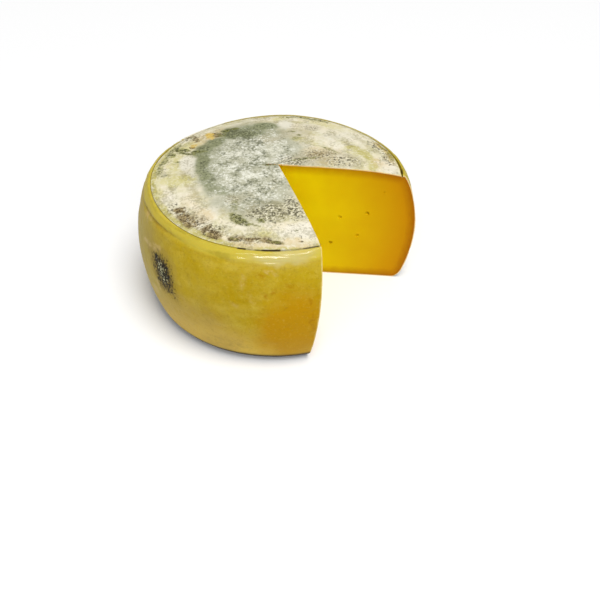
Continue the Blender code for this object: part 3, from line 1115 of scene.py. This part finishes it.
def side_rind():
    """Rind rubbed smooth and greasy: half-glossy, so that dents and folds show in the shine."""
    material, tree, shader, where = new_material("rubbed_waxy_side_rind", SIDE_FINISH)
    base = two_tone(tree, where, SIDE_CLOUDS, "#9F840A", "#A58C16")
    colour = stained(tree, where, base, SIDE_STAINS)
    shoulder = add(tree, "Attribute", attribute_name="fat_film", attribute_type="GEOMETRY")
    smears = add(tree, "Attribute", attribute_name="streaks", attribute_type="GEOMETRY")
    start, full = FATTY_STREAKS
    fatty = add(
        tree,
        "MapRange",
        {"Value": smears.outputs["Fac"], "From Min": start, "From Max": full},
    )
    film = add(
        tree,
        "Math",
        {0: fatty.outputs[0], 1: shoulder.outputs["Fac"]},
        operation="MULTIPLY",
    )
    tree.links.new(colour, shader.inputs["Base Color"])
    tree.links.new(grained(tree, where, SIDE_GRAIN), shader.inputs["Normal"])
    tree.links.new(film.outputs[0], shader.inputs["Coat Weight"])
    return material


def paste():
    """Knife-cut paste: smooth and deep yellow, browner towards the rind, pale right at it."""
    material, tree, shader, where = new_material("knife_cut_paste", PASTE_FINISH)
    base = two_tone(tree, where, PASTE_CLOUDS, "#D8BC02", "#DCC302")
    depth = add(tree, "Attribute", attribute_name="rind_depth", attribute_type="GEOMETRY")
    side_depth = add(tree, "Attribute", attribute_name="side_depth", attribute_type="GEOMETRY")
    wander = add(
        tree,
        "TexNoise",
        {"Vector": where, "Scale": 1 / (RIPE_WANDER_SIZE * MM), "Detail": RIPE_WANDER_DETAIL},
    )
    uneven = add(
        tree,
        "Math",
        {0: wander.outputs["Fac"], 1: RIPE_WANDER, 2: depth.outputs["Fac"]},
        operation="MULTIPLY_ADD",
    )
    layers = (
        (side_depth.outputs["Fac"], OUTER_PART, "#B98000", "MIX"),
        (uneven.outputs[0], RIPE_BAND, "#D2B48C", "MULTIPLY"),
        (depth.outputs["Fac"], CRUST_LINE, "#DCC48C", "MIX"),
    )
    colour = base
    for under_rind, (start, full), tone, blend in layers:
        share = add(tree, "MapRange", {"Value": under_rind, "From Min": start, "From Max": full})
        colour = add(
            tree,
            "Mix",
            {0: share.outputs[0], 6: colour, 7: linear(tone)},
            data_type="RGBA",
            blend_type=blend,
        ).outputs[2]
    tree.links.new(colour, shader.inputs["Base Color"])
    tree.links.new(grained(tree, where, PASTE_GRAIN), shader.inputs["Normal"])
    return material


def dressed_wheel():
    """The aged wheel with its notch, nick and eyes cut, painted and centred as the solid is."""
    wheel = turned_wheel()
    wheel.data.materials.append(crown_rind())
    wheel.data.materials.append(side_rind())
    for face in wheel.data.polygons:
        on_crown = face.center.z > BELLY_HEIGHT and math.hypot(*face.center[:2]) < CRACK_RADIUS
        face.material_index = 0 if on_crown else 1
    cut_finish = paste()
    for cutter in (notch_knives(), nick_knife(), gas_holes()):
        cutter.data.materials.append(cut_finish)
        wheel = cut_away(wheel, cutter)
    paint(wheel)
    places = places_of(wheel.data)
    middle = (places.min(axis=0) + places.max(axis=0)) / 2
    places[:, :2] -= middle[:2]
    move_to(wheel.data, places)
    wheel.name = "kashar_wheel"
    wheel.data.shade_smooth()
    wheel.data.set_sharp_from_angle(angle=math.radians(SHARP_EDGE))
    return wheel


wheel = dressed_wheel()
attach(wheel, "root")
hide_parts("cheese_wheel")

# The photograph's camera: 750 pixels of focal length on a 600 pixel picture
SENSOR_WIDTH = 36
FOCAL_LENGTH = 45
CAMERA_DISTANCE = 0.8873
CAMERA_ELEVATION = 35.524
CAMERA_YAW = -1.644
CAMERA_PITCH = -5.518
CAMERA_ROLL = 0.702
WHEEL_SHIFT = Vector((-0.0005, -0.001, 0))


def camera_place():
    """Matrix of a camera that sees the wheel as the photograph does."""
    rise = math.radians(CAMERA_ELEVATION)
    ahead = Vector((0, math.cos(rise), -math.sin(rise)))
    right = Vector((1, 0, 0))
    up = right.cross(ahead)
    place = -ahead * CAMERA_DISTANCE + Vector((0, 0, RIM_HEIGHT / 2)) + WHEEL_SHIFT
    yaw = Matrix.Rotation(math.radians(CAMERA_YAW), 3, up)
    ahead, right = yaw @ ahead, yaw @ right
    pitch = Matrix.Rotation(math.radians(CAMERA_PITCH), 3, right)
    ahead, up = pitch @ ahead, pitch @ up
    roll = Matrix.Rotation(math.radians(CAMERA_ROLL), 3, ahead)
    right, up = roll @ right, roll @ up
    turned = Matrix((right, up, -ahead)).transposed().to_4x4()
    return Matrix.Translation(place) @ turned


lens = bpy.data.cameras.new("camera")
lens.sensor_width = SENSOR_WIDTH
lens.lens = FOCAL_LENGTH
camera = bpy.data.objects.new("camera", lens)
camera.matrix_world = camera_place()
bpy.context.scene.collection.objects.link(camera)
bpy.context.scene.camera = camera


def lit_from(data, name, place):
    """Light that looks at the middle of the wheel from a place."""
    light = bpy.data.objects.new(name, data)
    light.location = place
    aim = Vector((0, 0, BELLY_HEIGHT)) - Vector(place)
    light.rotation_euler = aim.to_track_quat("-Z", "Y").to_euler()
    bpy.context.scene.collection.objects.link(light)


def softbox(name, place, width, height, power):
    """Softbox of a size, in metres and watts."""
    data = bpy.data.lights.new(name, "AREA")
    data.shape = "RECTANGLE"
    data.size = width
    data.size_y = height
    data.energy = power
    lit_from(data, name, place)


# A broad soft light from above, whose shadow falls behind to the left, and a strip in front
# that draws the shine on the shoulder: places and sizes in metres, power in watts
OVERHEAD_STRENGTH = 2.85
OVERHEAD_SPREAD = 36
OVERHEAD_PLACE = (0.55, -0.65, 2.6)
STRIP_PLACE = (0.06, -1.5, 1.15)
STRIP_WIDTH = 1.9
STRIP_HEIGHT = 0.09
STRIP_POWER = 13
overhead = bpy.data.lights.new("softbox_overhead", "SUN")
overhead.energy = OVERHEAD_STRENGTH
overhead.angle = math.radians(OVERHEAD_SPREAD)
lit_from(overhead, "softbox_overhead", OVERHEAD_PLACE)
softbox("strip_light_front", STRIP_PLACE, STRIP_WIDTH, STRIP_HEIGHT, STRIP_POWER)

# Matt white paper that gives no shine, only a soft shadow
FLOOR_SIZE = 60
PAPER_FINISH = {"Base Color": linear("#E2E2E2"), "Roughness": 0.9}
floor_bm = bmesh.new()
bmesh.ops.create_grid(floor_bm, x_segments=1, y_segments=1, size=FLOOR_SIZE / 2)
floor = object_from(floor_bm, "studio_floor")
floor.data.materials.append(new_material("matt_white_paper", PAPER_FINISH)[0])

# White surroundings: what the camera sees of them, and the dimmer light that they give
ROOM_SEEN = 1
ROOM_LIGHT = 0.38
world = bpy.data.worlds.new("studio_white")
world.use_nodes = True
backdrop = world.node_tree.nodes["Background"]
backdrop.inputs["Color"].default_value = linear("#FFFFFF")
seen = add(world.node_tree, "LightPath").outputs["Is Camera Ray"]
strength = add(
    world.node_tree, "MapRange", {"Value": seen, "To Min": ROOM_LIGHT, "To Max": ROOM_SEEN}
)
world.node_tree.links.new(strength.outputs[0], backdrop.inputs["Strength"])
bpy.context.scene.world = world
bpy.context.scene.view_settings.view_transform = "Standard"
